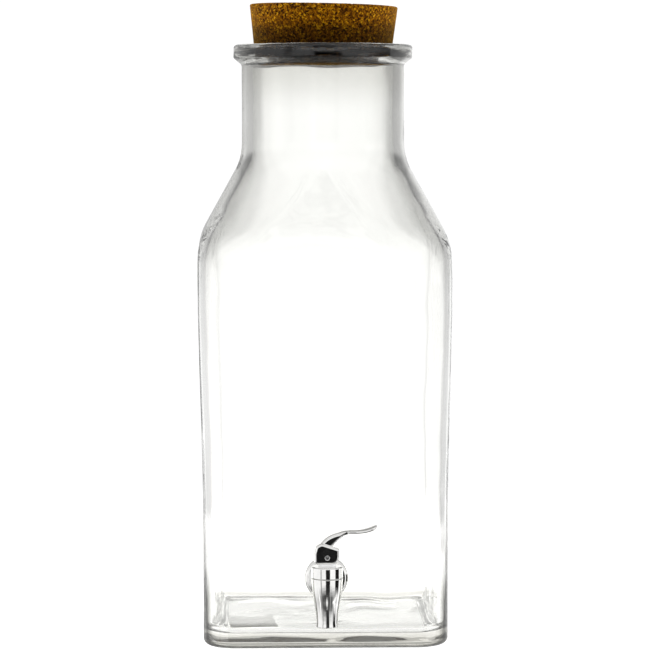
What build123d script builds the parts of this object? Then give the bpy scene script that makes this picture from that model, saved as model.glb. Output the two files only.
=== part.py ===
from build123d import *
from math import cos, pi, radians, sqrt, tan
import os

# Beverage dispenser: a square clear glass bottle with a cork stopper and a sprung lever tap.
# Millimetres. +Z is up and -Y is the front, where the tap is.
# The origin is on the bottle's axis, at the plane it stands on.

os.makedirs("parts", exist_ok=True)

# Glass bottle, outside
JAR_HEIGHT = 439.4
BODY_HALF_LOW = 89.6
BODY_HALF_HIGH = 93.2
BODY_CORNER_LOW = 20.0
BODY_CORNER_HIGH = 31.0
STRAIGHT_TOP_Z = 112.0
BODY_TOP_Z = 244.0
SHOULDER_FOOT_Z = 278.4
SHOULDER_TOP_Z = 364.5
NECK_RADIUS = 60.8
HEEL_RADIUS = 5.8
RIM_RADIUS = 67.0
RIM_BOTTOM_Z = 429.5
RIM_BEVEL = 5.0
RIM_ROUNDING = 1.5

# Glass bottle, inside
WALL = 5.5
SHOULDER_WALL = 6.5
FLOOR_Z = 10.0
FLOOR_ROUNDING = 4.5
MOUTH_RADIUS = 52.3
PUSH_UP_HALF = 76.0
PUSH_UP_CORNER = 18.0
PUSH_UP_DEPTH = 1.6

# Shoulder sections: height, half width, corner radius as a share of the half width
SHOULDER_STATIONS = [
    (SHOULDER_FOOT_Z, 93.2, 0.36),
    (289.4, 92.8, 0.42),
    (300.3, 90.4, 0.52),
    (316.0, 83.1, 0.68),
    (333.5, 73.4, 0.86),
    (348.0, 65.3, 0.95),
    (SHOULDER_TOP_Z, NECK_RADIUS, 0.99),
]

# Cork stopper
CORK_BOTTOM_Z = 428.5
CORK_TOP_Z = 468.5
CORK_TOP_RADIUS = 55.3
CORK_TAPER = 6.8
CORK_LEAN = 1.2
CORK_ROUNDING = 1.2

# Base label
LABEL_SIZE = (36.0, 64.0)
LABEL_THICKNESS = 0.15
LABEL_CENTRE = (-54.5, -34.0)
LABEL_TURN = 4.0

# Tap: the shank runs through the front wall and the valve stands on a vertical axis in front of it
SHANK_Z = 53.0
AXIS_REACH = 27.0
TAP_Y = -BODY_HALF_LOW - AXIS_REACH
HOLE_RADIUS = 8.2
SHANK_RADIUS = 7.9
SHANK_BORE_RADIUS = 4.6
SHANK_LENGTH = 31.0
THREAD_PITCH = 1.5
THREAD_DEPTH = 0.7
FLANGE_RADIUS = 15.7
FLANGE_THICKNESS = 3.4
ARM_RADIUS = 7.4

# Clamping stack, from the outside in
OUTER_WASHER = (14.2, 2.0)
INNER_WASHER = (14.5, 2.0)
SLIP_WASHER = (13.2, 1.2)
NUT_ACROSS_FLATS = 24.0
NUT_THICKNESS = 6.5
NUT_BORE_RADIUS = 7.95

# Barrel and nozzle
NOZZLE_BOTTOM_Z = 21.5
NOZZLE_RADIUS = 7.7
NOZZLE_FLARE = 0.5
NOZZLE_BORE_RADIUS = 5.5
TAPER_LOW_Z = 31.8
TAPER_HIGH_Z = 48.4
BARREL_RADIUS = 11.3
SEAM_Z = 56.9
BOSS_RADIUS = 9.3
BOSS_TOP_Z = 60.4
CHAMBER_RADIUS = 7.7
SEAT_Z = 38.0

# Bonnet and its seals
BONNET_TOP_Z = 65.3
BONNET_CLEARANCE = 0.1
GASKET_THICKNESS = 0.8
SPRING_WASHER_THICKNESS = 0.8
POCKET_RADIUS = 5.1
POCKET_DEPTH = 2.1
O_RING_CENTRE_RADIUS = 4.05
O_RING_SECTION_RADIUS = 1.0
STEM_RADIUS = 3.0
STEM_BORE_RADIUS = 3.06

# Stem, seat cup and spring
COLLAR_RADIUS = 6.4
COLLAR_Z = (44.2, 45.6)
BUTTON_RADIUS = 3.4
BUTTON_Z = (40.6, 42.0)
BUTTON_NECK_RADIUS = 2.0
STEM_TOP_Z = 75.0
CUP_RADIUS = 7.0
CUP_TOP_Z = 44.2
CUP_GAP = 0.1
SPRING_RADIUS = 5.2
SPRING_WIRE_RADIUS = 0.5
SPRING_TURNS = 5

# Lever, at rest with its handle towards +X
THRUST_WASHER_RADIUS = 6.4
THRUST_WASHER_TOP_Z = 67.1
PIN_Z = 72.1
PIN_RADIUS = 1.5
PIN_LENGTH = 11.4
CAM_RADIUS = 4.95
CAM_OFFSET = 3.9
FORK_HALF_WIDTH = 6.0
FORK_SLOT_HALF_WIDTH = 3.2
FORK_BACK_X = -9.5
SLOT_BACK_X = -4.4
NECK_HALF_WIDTH = 4.6
STRIP_HALF_WIDTH = 3.2
PADDLE_HALF_WIDTH = 7.0
TIP_X = 36.5
TIP_Z = 95.7

FACE_Y = -BODY_HALF_LOW
INSIDE_Y = FACE_Y + WALL
FLANGE_BACK_Y = FACE_Y - OUTER_WASHER[1]
FLANGE_FRONT_Y = FLANGE_BACK_Y - FLANGE_THICKNESS
GASKET_TOP_Z = BOSS_TOP_Z + GASKET_THICKNESS
BONNET_CEILING_Z = GASKET_TOP_Z + SPRING_WASHER_THICKNESS


def save(name, shape, colour):
    """Name and colour one sub-part, and write its STEP file."""
    shape.label = name
    shape.color = Color(*colour)
    export_step(shape, f"parts/{name}.step")


def rounded_square(z, half, corner):
    """A horizontal square section with rounded corners, at one height."""
    return Pos(0, 0, z) * RectangleRounded(2 * half, 2 * half, corner)


def tower(stations):
    """A solid lofted through rounded square sections."""
    return loft([rounded_square(z, half, corner) for z, half, corner in stations])


def standing(radius, low, high):
    """A cylinder on the tap's vertical axis."""
    return Pos(0, TAP_Y, (low + high) / 2) * Cylinder(radius, high - low)


def along_shank(radius, front_y, back_y):
    """A cylinder on the shank's axis."""
    return Pos(0, (front_y + back_y) / 2, SHANK_Z) * Rot(90, 0, 0) * Cylinder(radius, back_y - front_y)


def turned(points):
    """A solid turned about the tap's vertical axis from radius and height pairs."""
    outline = make_face(Polyline([(r, 0, z) for r, z in points], close=True))
    return Pos(0, TAP_Y, 0) * revolve(outline, Axis.Z)


def jar_shell(inset_low, inset_high, bottom_z, top_radius):
    """The bottle's outer form, or the cavity inside it when the insets are above zero."""
    low_half = BODY_HALF_LOW - inset_low
    high_half = BODY_HALF_HIGH - inset_low
    low_corner = BODY_CORNER_LOW - inset_low
    high_corner = BODY_CORNER_HIGH - inset_low
    foot = extrude(rounded_square(bottom_z, low_half, low_corner), STRAIGHT_TOP_Z - bottom_z)
    flare = tower([(STRAIGHT_TOP_Z, low_half, low_corner), (BODY_TOP_Z, high_half, high_corner)])
    foot_z, foot_half, foot_share = SHOULDER_STATIONS[0]
    first = foot_half * foot_share - inset_low
    band = tower([(BODY_TOP_Z, high_half, high_corner), (foot_z, foot_half - inset_low, first)])
    stations = []
    for z, half, share in SHOULDER_STATIONS:
        rise = (z - SHOULDER_FOOT_Z) / (SHOULDER_TOP_Z - SHOULDER_FOOT_Z)
        inset = inset_low + (inset_high - inset_low) * rise
        section_half = half - inset
        stations.append((z, section_half, share * half - inset if share < 0.9 else share * section_half))
    shoulder = tower(stations)
    neck = Pos(0, 0, (SHOULDER_TOP_Z + JAR_HEIGHT) / 2) * Cylinder(top_radius, JAR_HEIGHT - SHOULDER_TOP_Z)
    return foot, flare, band, shoulder, neck


def finish_ring():
    """The thick flat rim, with a bevel down to the neck."""
    outline = Polyline(
        [
            (NECK_RADIUS - 2, 0, RIM_BOTTOM_Z - RIM_BEVEL),
            (NECK_RADIUS, 0, RIM_BOTTOM_Z - RIM_BEVEL),
            (RIM_RADIUS, 0, RIM_BOTTOM_Z),
            (RIM_RADIUS, 0, JAR_HEIGHT),
            (NECK_RADIUS - 2, 0, JAR_HEIGHT),
        ],
        close=True,
    )
    ring = revolve(make_face(outline), Axis.Z)
    lip = ring.edges().filter_by(GeomType.CIRCLE).group_by(Axis.Z)[-1].sort_by(SortBy.RADIUS)[-1]
    return fillet(lip, RIM_ROUNDING)


def make_jar():
    """The bottle: outer form less the cavity, the push-up under the foot and the tap's hole."""
    foot, flare, band, shoulder, neck = jar_shell(0, 0, 0, NECK_RADIUS)
    foot = fillet(foot.faces().sort_by(Axis.Z)[0].edges(), HEEL_RADIUS)
    outside = foot + flare + band + shoulder + neck + finish_ring()
    cavity_foot, *cavity_rest = jar_shell(WALL, SHOULDER_WALL, FLOOR_Z, MOUTH_RADIUS)
    cavity_foot = fillet(cavity_foot.faces().sort_by(Axis.Z)[0].edges(), FLOOR_ROUNDING)
    cavity = cavity_foot
    for piece in cavity_rest:
        cavity += piece
    push_up = extrude(rounded_square(0, PUSH_UP_HALF, PUSH_UP_CORNER), PUSH_UP_DEPTH)
    hole = along_shank(HOLE_RADIUS, FACE_Y - 1, INSIDE_Y + 1)
    return outside - cavity - push_up - hole


def make_cork():
    """A tapered cork that leans a little to one side about the middle of the mouth."""
    height = CORK_TOP_Z - CORK_BOTTOM_Z
    bottom_radius = CORK_TOP_RADIUS - height * tan(radians(CORK_TAPER))
    cork = Cone(bottom_radius, CORK_TOP_RADIUS, height)
    cork = fillet(cork.edges().filter_by(GeomType.CIRCLE), CORK_ROUNDING)
    cork = Pos(0, 0, (CORK_BOTTOM_Z + CORK_TOP_Z) / 2 - JAR_HEIGHT) * cork
    return Pos(0, 0, JAR_HEIGHT) * Rot(0, CORK_LEAN, 0) * cork


def make_label():
    """A plain thin label under the push-up."""
    x, y = LABEL_CENTRE
    z = PUSH_UP_DEPTH - LABEL_THICKNESS
    return Pos(x, y, z) * Rot(0, 0, LABEL_TURN) * extrude(RectangleRounded(*LABEL_SIZE, 2), LABEL_THICKNESS)


def shank_thread(solid):
    """Thread grooves round the shank, as separate rings from its free end inwards."""
    end_y = FLANGE_BACK_Y + SHANK_LENGTH
    count = int((SHANK_LENGTH - 10) / THREAD_PITCH)
    for turn in range(count):
        y = end_y - (turn + 1) * THREAD_PITCH
        groove = Polyline(
            [
                (SHANK_RADIUS + 0.05, -THREAD_PITCH / 3),
                (SHANK_RADIUS - THREAD_DEPTH, 0),
                (SHANK_RADIUS + 0.05, THREAD_PITCH / 3),
            ],
            close=True,
        )
        ring = revolve(make_face(groove), Axis.Y)
        solid -= Pos(0, y, SHANK_Z) * ring
    return solid


def make_spigot_body():
    """The tap's body: flange, arm, barrel, nozzle and hollow threaded shank."""
    barrel = turned(
        [
            (0, NOZZLE_BOTTOM_Z),
            (NOZZLE_RADIUS + NOZZLE_FLARE, NOZZLE_BOTTOM_Z),
            (NOZZLE_RADIUS, NOZZLE_BOTTOM_Z + 3),
            (NOZZLE_RADIUS, TAPER_LOW_Z),
            (BARREL_RADIUS, TAPER_HIGH_Z),
            (BARREL_RADIUS, SEAM_Z),
            (BOSS_RADIUS, SEAM_Z),
            (BOSS_RADIUS, BOSS_TOP_Z),
            (0, BOSS_TOP_Z),
        ]
    )
    arm = along_shank(ARM_RADIUS, TAP_Y, FLANGE_BACK_Y)
    arm -= standing(BARREL_RADIUS + 0.3, SEAM_Z, SEAM_Z + 20)
    flange = along_shank(FLANGE_RADIUS, FLANGE_FRONT_Y, FLANGE_BACK_Y)
    flange = fillet(flange.edges().filter_by(GeomType.CIRCLE).sort_by(Axis.Y)[0], 1.8)
    shank = along_shank(SHANK_RADIUS, FLANGE_BACK_Y, FLANGE_BACK_Y + SHANK_LENGTH)
    chamber = turned(
        [
            (0, NOZZLE_BOTTOM_Z - 1),
            (NOZZLE_BORE_RADIUS, NOZZLE_BOTTOM_Z - 1),
            (NOZZLE_BORE_RADIUS, SEAT_Z),
            (CHAMBER_RADIUS, SEAT_Z + CHAMBER_RADIUS - NOZZLE_BORE_RADIUS),
            (CHAMBER_RADIUS, BOSS_TOP_Z + 1),
            (0, BOSS_TOP_Z + 1),
        ]
    )
    bore = along_shank(SHANK_BORE_RADIUS, TAP_Y, FLANGE_BACK_Y + SHANK_LENGTH + 1)
    return shank_thread(barrel + arm + flange + shank - chamber - bore)


def ring_on_shank(radius, bore, front_y, thickness):
    """A washer on the shank."""
    back_y = front_y + thickness
    return along_shank(radius, front_y, back_y) - along_shank(bore, front_y - 1, back_y + 1)


def make_nut(front_y):
    """A hex nut with its outer corners bevelled."""
    across_corners = NUT_ACROSS_FLATS / cos(pi / 6)
    blank = extrude(RegularPolygon(across_corners / 2, 6), NUT_THICKNESS / 2, both=True)
    blank &= chamfer(Cylinder(across_corners / 2, NUT_THICKNESS).edges().filter_by(GeomType.CIRCLE), 1)
    blank -= Cylinder(NUT_BORE_RADIUS, NUT_THICKNESS + 2)
    return Pos(0, front_y + NUT_THICKNESS / 2, SHANK_Z) * Rot(90, 0, 0) * blank


def make_bonnet():
    """The screwed collar: a skirt over the boss, a ceiling, an O-ring pocket and the stem's hole."""
    inner = BOSS_RADIUS + BONNET_CLEARANCE
    pocket_top = BONNET_CEILING_Z + POCKET_DEPTH
    bonnet = turned(
        [
            (STEM_BORE_RADIUS, pocket_top),
            (POCKET_RADIUS, pocket_top),
            (POCKET_RADIUS, BONNET_CEILING_Z),
            (inner, BONNET_CEILING_Z),
            (inner, SEAM_Z + BONNET_CLEARANCE),
            (BARREL_RADIUS, SEAM_Z + BONNET_CLEARANCE),
            (BARREL_RADIUS, BONNET_TOP_Z),
            (STEM_BORE_RADIUS, BONNET_TOP_Z),
        ]
    )
    edge = bonnet.edges().filter_by(GeomType.CIRCLE).group_by(Axis.Z)[-1].sort_by(SortBy.RADIUS)[-1]
    return fillet(edge, 1.0)


def ring_on_axis(radius, bore, low, high):
    """A washer on the tap's vertical axis."""
    return standing(radius, low, high) - standing(bore, low - 1, high + 1)


def make_o_ring():
    """An O-ring round the stem, resting on the spring washer."""
    z = BONNET_CEILING_Z + O_RING_SECTION_RADIUS
    return Pos(0, TAP_Y, z) * Torus(O_RING_CENTRE_RADIUS, O_RING_SECTION_RADIUS)


def make_stem():
    """The stem: button, neck, spring collar and a long shaft with a hole for the pin."""
    stem = turned(
        [
            (0, BUTTON_Z[0]),
            (BUTTON_RADIUS, BUTTON_Z[0]),
            (BUTTON_RADIUS, BUTTON_Z[1]),
            (BUTTON_NECK_RADIUS, BUTTON_Z[1]),
            (BUTTON_NECK_RADIUS, COLLAR_Z[0]),
            (COLLAR_RADIUS, COLLAR_Z[0]),
            (COLLAR_RADIUS, COLLAR_Z[1]),
            (STEM_RADIUS, COLLAR_Z[1]),
            (STEM_RADIUS, STEM_TOP_Z),
            (0, STEM_TOP_Z),
        ]
    )
    stem = fillet(stem.edges().group_by(Axis.Z)[-1], 0.6)
    return stem - pin_cylinder(PIN_RADIUS, 2 * STEM_RADIUS + 2)


def pin_cylinder(radius, length):
    """A cylinder on the lever pin's axis."""
    return Pos(0, TAP_Y, PIN_Z) * Rot(90, 0, 0) * Cylinder(radius, length)


def make_seat_cup():
    """A silicone plug with a conical nose that closes the nozzle, buttoned on the stem."""
    nose_z = SEAT_Z - 0.8
    nose_radius = NOZZLE_BORE_RADIUS - 0.8 - CUP_GAP * sqrt(2)
    shoulder_z = nose_z + CUP_RADIUS - nose_radius
    return turned(
        [
            (0, nose_z),
            (nose_radius, nose_z),
            (CUP_RADIUS, shoulder_z),
            (CUP_RADIUS, CUP_TOP_Z),
            (BUTTON_NECK_RADIUS, CUP_TOP_Z),
            (BUTTON_NECK_RADIUS, BUTTON_Z[1]),
            (BUTTON_RADIUS, BUTTON_Z[1]),
            (BUTTON_RADIUS, BUTTON_Z[0]),
            (0, BUTTON_Z[0]),
        ]
    )


def make_spring():
    """A compression spring between the stem's collar and the spring washer."""
    low = COLLAR_Z[1] + SPRING_WIRE_RADIUS
    high = GASKET_TOP_Z - SPRING_WIRE_RADIUS
    pitch = (high - low) / SPRING_TURNS
    path = Pos(0, TAP_Y, low) * Helix(pitch, high - low, SPRING_RADIUS)
    section = Plane(path @ 0, z_dir=path % 0) * Circle(SPRING_WIRE_RADIUS)
    return sweep(section, path, is_frenet=True)


def side_outline(points, half_width):
    """A prism across the lever, from x and z pairs measured from the tap's axis."""
    outline = make_face(Polyline([(x, 0, z) for x, z in points], close=True))
    return Pos(0, TAP_Y, 0) * extrude(outline, half_width, dir=(0, 1, 0), both=True)


def make_fork():
    """The fork that straddles the stem, its heel rounded to roll on the thrust washer."""
    bottom = PIN_Z - CAM_RADIUS
    front = CAM_OFFSET + CAM_RADIUS
    block = side_outline(
        [
            (FORK_BACK_X, bottom),
            (front, bottom),
            (front, 77.4),
            (4.5, 80.1),
            (-4.8, 82.4),
            (FORK_BACK_X, 76.2),
        ],
        FORK_HALF_WIDTH,
    )
    heel = block.edges().filter_by(Axis.Y).sort_by_distance((front, TAP_Y, bottom))[0]
    block = fillet(heel, CAM_RADIUS - 0.02)
    back = block.edges().filter_by(Axis.Z).group_by(Axis.X)[0]
    block = fillet(back, 2.8)
    slot_top = STEM_TOP_Z + 1.4
    slot_front = front + 1
    slot = Box(slot_front - SLOT_BACK_X, 2 * FORK_SLOT_HALF_WIDTH, slot_top - bottom + 2)
    place = ((slot_front + SLOT_BACK_X) / 2, TAP_Y, (slot_top + bottom - 2) / 2)
    return block - Pos(*place) * slot


def make_neck():
    """The hooked neck between the fork and the paddle."""
    return side_outline(
        [
            (-4.8, 82),
            (-4.8, 78),
            (4.1, 78),
            (4.1, 80.6),
            (9, 85.6),
            (12, 87.8),
            (16, 89.7),
            (16, 90.9),
            (11.7, 90.8),
            (6.3, 90),
            (2, 88.6),
            (-1.8, 85.6),
        ],
        NECK_HALF_WIDTH,
    )


def make_paddle():
    """The thin strip that the neck runs into, widening and rising to a rounded tip."""
    strip = side_outline(
        [
            (10, 89.1),
            (16, 89.9),
            (22, 90),
            (27, 90.7),
            (31.5, 91.9),
            (TIP_X, TIP_Z - 1.3),
            (TIP_X, TIP_Z),
            (31.7, 93.5),
            (27, 92.2),
            (22.5, 91.2),
            (16, 91),
            (10, 90.7),
        ],
        PADDLE_HALF_WIDTH,
    )
    near_side = [
        (8, -NECK_HALF_WIDTH),
        (12, -NECK_HALF_WIDTH),
        (18, -STRIP_HALF_WIDTH),
        (29, -PADDLE_HALF_WIDTH),
        (33, -PADDLE_HALF_WIDTH + 0.4),
        (35.8, -PADDLE_HALF_WIDTH + 2.6),
        (TIP_X, -PADDLE_HALF_WIDTH + 5),
    ]
    far_side = [(x, -y) for x, y in reversed(near_side)]
    plan = make_face(Polyline(near_side + far_side, close=True))
    return strip & Pos(0, TAP_Y, PIN_Z) * extrude(plan, 30)


def make_lever():
    """Fork, neck and paddle in one casting, with the pin's hole through both cheeks."""
    return make_fork() + make_neck() + make_paddle() - pin_cylinder(PIN_RADIUS + 0.05, 20)


GLASS = (0.85, 0.9, 0.9, 0.4)
CORK = (0.55, 0.36, 0.18)
CHROME = (0.8, 0.8, 0.82)
STEEL = (0.6, 0.6, 0.62)
SILICONE = (0.88, 0.88, 0.86)
PAPER = (0.86, 0.85, 0.8)

slip_front_y = INSIDE_Y + INNER_WASHER[1]
nut_front_y = slip_front_y + SLIP_WASHER[1]
thrust_low_z = BONNET_TOP_Z + 0.05

save("glass_jar", make_jar(), GLASS)
save("cork_stopper", make_cork(), CORK)
save("base_label", make_label(), PAPER)
save("spigot_body", make_spigot_body(), CHROME)
save("outer_washer", ring_on_shank(OUTER_WASHER[0], HOLE_RADIUS, FLANGE_BACK_Y, OUTER_WASHER[1]), SILICONE)
save("inner_washer", ring_on_shank(INNER_WASHER[0], HOLE_RADIUS, INSIDE_Y, INNER_WASHER[1]), SILICONE)
save("slip_washer", ring_on_shank(SLIP_WASHER[0], HOLE_RADIUS, slip_front_y, SLIP_WASHER[1]), STEEL)
save("mounting_nut", make_nut(nut_front_y), STEEL)
save("bonnet", make_bonnet(), CHROME)
save("bonnet_gasket", ring_on_axis(BOSS_RADIUS, CHAMBER_RADIUS, BOSS_TOP_Z, GASKET_TOP_Z), SILICONE)
save("spring_washer", ring_on_axis(BOSS_RADIUS, 3.3, GASKET_TOP_Z, BONNET_CEILING_Z), STEEL)
save("stem_o_ring", make_o_ring(), SILICONE)
save("valve_stem", make_stem(), CHROME)
save("seat_cup", make_seat_cup(), SILICONE)
save("stem_spring", make_spring(), STEEL)
save("thrust_washer", ring_on_axis(THRUST_WASHER_RADIUS, 3.2, thrust_low_z, THRUST_WASHER_TOP_Z), SILICONE)
save("lever", make_lever(), CHROME)
save("lever_pin", pin_cylinder(PIN_RADIUS, PIN_LENGTH), STEEL)
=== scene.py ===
"""Looks of the beverage dispenser: clear glass bottle, cork stopper and chrome lever tap.

Everything is in metres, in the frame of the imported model: +Z up, -Y the front, and the origin on the
ground under the bottle's axis.
"""

import math

import bmesh
import bpy
import numpy as np
from mathutils import Matrix, Vector, noise


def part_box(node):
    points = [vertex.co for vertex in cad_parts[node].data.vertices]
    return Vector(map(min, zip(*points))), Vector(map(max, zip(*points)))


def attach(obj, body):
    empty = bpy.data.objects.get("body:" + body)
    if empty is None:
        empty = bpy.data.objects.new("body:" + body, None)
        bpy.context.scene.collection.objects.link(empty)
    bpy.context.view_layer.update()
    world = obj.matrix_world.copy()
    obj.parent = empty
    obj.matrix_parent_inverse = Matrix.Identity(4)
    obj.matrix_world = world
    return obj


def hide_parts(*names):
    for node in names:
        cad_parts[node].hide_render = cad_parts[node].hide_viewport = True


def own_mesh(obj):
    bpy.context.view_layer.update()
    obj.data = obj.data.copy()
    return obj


MM = 0.001

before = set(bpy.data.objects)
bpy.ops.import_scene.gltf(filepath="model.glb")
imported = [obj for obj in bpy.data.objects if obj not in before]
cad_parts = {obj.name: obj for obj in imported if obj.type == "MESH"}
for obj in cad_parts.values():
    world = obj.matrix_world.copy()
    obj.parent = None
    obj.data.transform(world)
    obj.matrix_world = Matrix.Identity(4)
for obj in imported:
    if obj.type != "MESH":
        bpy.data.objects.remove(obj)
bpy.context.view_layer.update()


# ---------------------------------------------------------------- outlines and meshes

def rounded_outline(corners, arc_step=math.radians(9)):
    """Points along an outline of (radius, height, rounding) corners, with an arc at each rounded one."""
    points = []
    for i, (r, h, rounding) in enumerate(corners):
        here = Vector((r, h))
        if rounding <= 0 or i in (0, len(corners) - 1):
            points.append(here)
            continue
        before = (Vector(corners[i - 1][:2]) - here).normalized()
        after = (Vector(corners[i + 1][:2]) - here).normalized()
        half_angle = before.angle(after) / 2
        reach = rounding / math.tan(half_angle)
        centre = here + (before + after).normalized() * rounding / math.sin(half_angle)
        start, end = here + before * reach - centre, here + after * reach - centre
        turn = start.angle_signed(end)
        steps = max(2, math.ceil(abs(turn) / arc_step))
        for k in range(steps + 1):
            arm = start.copy()
            arm.rotate(Matrix.Rotation(-turn * k / steps, 2))
            points.append(centre + arm)
    return points


def new_object(name, mesh):
    """An object that holds a mesh, in the scene."""
    obj = bpy.data.objects.new(name, mesh)
    bpy.context.scene.collection.objects.link(obj)
    return obj


def object_from(name, verts, faces):
    """A smooth-shaded object from vertices and faces."""
    mesh = bpy.data.meshes.new(name)
    mesh.from_pydata([tuple(v) for v in verts], [], faces)
    mesh.validate()
    mesh.shade_smooth()
    return new_object(name, mesh)


def rings_to_object(name, rings, closed=False, capped=False):
    """A skin over rings of equal length, facing outwards; a ring of one point is a pole."""
    verts, starts = [], []
    for ring in rings:
        starts.append(len(verts))
        verts.extend(ring)
    faces = []
    pairs = list(zip(range(len(rings) - 1), range(1, len(rings))))
    if closed:
        pairs.append((len(rings) - 1, 0))
    for a, b in pairs:
        count = max(len(rings[a]), len(rings[b]))
        for k in range(count):
            j = (k + 1) % count
            quad = [starts[a] + k, starts[a] + j, starts[b] + j, starts[b] + k]
            if len(rings[a]) == 1:
                quad = [starts[a], starts[b] + j, starts[b] + k]
            if len(rings[b]) == 1:
                quad = [starts[a] + k, starts[a] + j, starts[b]]
            faces.append(quad)
    if capped:
        faces += [list(range(len(rings[0]))), list(range(starts[-1], len(verts)))]
    obj = object_from(name, verts, faces)
    outward(obj)
    return obj


def circle(segments):
    """Angles of one turn."""
    return [math.tau * k / segments for k in range(segments)]


def ring_at(radius, height, segments):
    """A level ring of points about local Z, or one point where the radius is 0."""
    if radius < 1e-9:
        return [Vector((0, 0, height))]
    return [Vector((radius * math.cos(a), radius * math.sin(a), height)) for a in circle(segments)]


def lathe(name, outline, place=Matrix.Identity(4), segments=96, closed=False):
    """A solid turned about local Z from (radius, height) points, then put in place."""
    rings = [[place @ point for point in ring_at(r, h, segments)] for r, h in outline]
    return rings_to_object(name, rings, closed)


def outward(obj):
    """Turns every face of a closed mesh outwards."""
    bm = bmesh.new()
    bm.from_mesh(obj.data)
    bmesh.ops.recalc_face_normals(bm, faces=bm.faces)
    bm.to_mesh(obj.data)
    bm.free()


def apply_modifiers(obj):
    """Replaces the object's mesh by the result of its modifiers."""
    bpy.context.view_layer.update()
    done = bpy.data.meshes.new_from_object(obj.evaluated_get(bpy.context.evaluated_depsgraph_get()))
    obj.modifiers.clear()
    obj.data = done


def even_normals(obj):
    """Normals that follow the large faces, so that flats stay flat between small roundings."""
    weighted = obj.modifiers.new("normals", "WEIGHTED_NORMAL")
    weighted.weight = 90
    apply_modifiers(obj)


def boolean(obj, other, operation):
    """Unites, cuts or intersects two closed meshes, and drops the second one."""
    modifier = obj.modifiers.new("boolean", "BOOLEAN")
    modifier.operation = operation
    modifier.solver = "EXACT"
    modifier.object = other
    apply_modifiers(obj)
    bpy.data.objects.remove(other)


def add_meshes(obj, *others):
    """Puts the others' meshes into the object's own, and drops them."""
    bm = bmesh.new()
    for piece in (obj, *others):
        bm.from_mesh(piece.data)
    bm.to_mesh(obj.data)
    bm.free()
    for piece in others:
        bpy.data.objects.remove(piece)


def pin_outline(radius, half_length):
    """The outline of a plain cylinder about its middle."""
    return [(0, -half_length), (radius, -half_length), (radius, half_length), (0, half_length)]


def smoothstep(low, high, x):
    """0 below low, 1 above high, and a smooth rise between them."""
    t = min(1.0, max(0.0, (x - low) / (high - low)))
    return t * t * (3 - 2 * t)


# ---------------------------------------------------------------- places taken from the frame

jar_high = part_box("glass_jar")[1]
spigot_low, spigot_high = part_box("spigot_body")
bonnet_low, bonnet_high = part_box("bonnet")
outer_washer_low, outer_washer_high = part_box("outer_washer")
inner_washer_low, inner_washer_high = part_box("inner_washer")
slip_washer_low, slip_washer_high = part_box("slip_washer")
nut_low, nut_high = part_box("mounting_nut")
thrust_low, thrust_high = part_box("thrust_washer")
pin_low, pin_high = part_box("lever_pin")
lever_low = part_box("lever")[0]

TAP_Y = (bonnet_low.y + bonnet_high.y) / 2
FACE_Y = outer_washer_high.y
INSIDE_Y = inner_washer_low.y
SHANK_Z = (outer_washer_low.z + outer_washer_high.z) / 2
PIN_Z = (pin_low.z + pin_high.z) / 2
JAR_HEIGHT = jar_high.z
BODY_HALF = jar_high.x
HOLE_RADIUS = 8.2 * MM


# ---------------------------------------------------------------- nodes

def material(name):
    """A new node material with its Principled shader."""
    made = bpy.data.materials.new(name)
    made.use_nodes = True
    return made, made.node_tree, made.node_tree.nodes["Principled BSDF"]


def node(tree, kind, **settings):
    """A node with its settings; a setting named in_NAME goes on the input socket of that name."""
    made = tree.nodes.new(kind)
    for key, value in settings.items():
        if key.startswith("in_"):
            made.inputs[key[3:].replace("_", " ")].default_value = value
        else:
            setattr(made, key, value)
    return made


def ramp(tree, source, stops, interpolation="LINEAR"):
    """A colour ramp from (position, colour) stops, fed by a socket."""
    made = tree.nodes.new("ShaderNodeValToRGB")
    made.color_ramp.interpolation = interpolation
    elements = made.color_ramp.elements
    while len(elements) < len(stops):
        elements.new(0.5)
    for element, (position, colour) in zip(elements, stops):
        element.position = position
        element.color = (*colour, 1) if len(colour) == 3 else colour
    tree.links.new(source, made.inputs["Fac"])
    return made.outputs["Color"]


def grey(value):
    """A grey colour."""
    return (value, value, value)


def object_place(tree):
    """The object's own coordinates."""
    return node(tree, "ShaderNodeTexCoord").outputs["Object"]


def noise_texture(tree, scale, detail, roughness=0.55):
    """Noise over the object's own coordinates."""
    texture = node(tree, "ShaderNodeTexNoise", in_Scale=scale, in_Detail=detail, in_Roughness=roughness)
    tree.links.new(object_place(tree), texture.inputs["Vector"])
    return texture.outputs["Fac"]


def add_bump(tree, shader, source, distance, strength):
    """Bump on a shader from a height socket."""
    bump = node(tree, "ShaderNodeBump", in_Strength=strength, in_Distance=distance)
    tree.links.new(source, bump.inputs["Height"])
    tree.links.new(bump.outputs["Normal"], shader.inputs["Normal"])


def split(tree, vector):
    """A vector's parts, as outputs X, Y and Z."""
    made = node(tree, "ShaderNodeSeparateXYZ")
    tree.links.new(vector, made.inputs["Vector"])
    return made.outputs


def mix_colours(tree, a, b, factor=1.0, blend="MULTIPLY"):
    """Colour a blended with colour b by a factor; each is a socket or a plain value."""
    made = node(tree, "ShaderNodeMix", data_type="RGBA", blend_type=blend)
    for name, value in (("Factor", factor), ("A", a), ("B", b)):
        if isinstance(value, bpy.types.NodeSocket):
            tree.links.new(value, made.inputs[name])
        else:
            made.inputs[name].default_value = value
    return made.outputs["Result"]


def rise(tree, source, low, high):
    """0 where the source is at low or under it, 1 at high or over it, and even between."""
    made = node(tree, "ShaderNodeMapRange", in_From_Min=low, in_From_Max=high)
    tree.links.new(source, made.inputs["Value"])
    return made.outputs["Result"]


def paint(tree, shader, source, colours, roughness):
    """Two colours and two roughnesses that follow one texture."""
    tree.links.new(ramp(tree, source, colours), shader.inputs["Base Color"])
    tree.links.new(ramp(tree, source, roughness), shader.inputs["Roughness"])


# ---------------------------------------------------------------- materials

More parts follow.
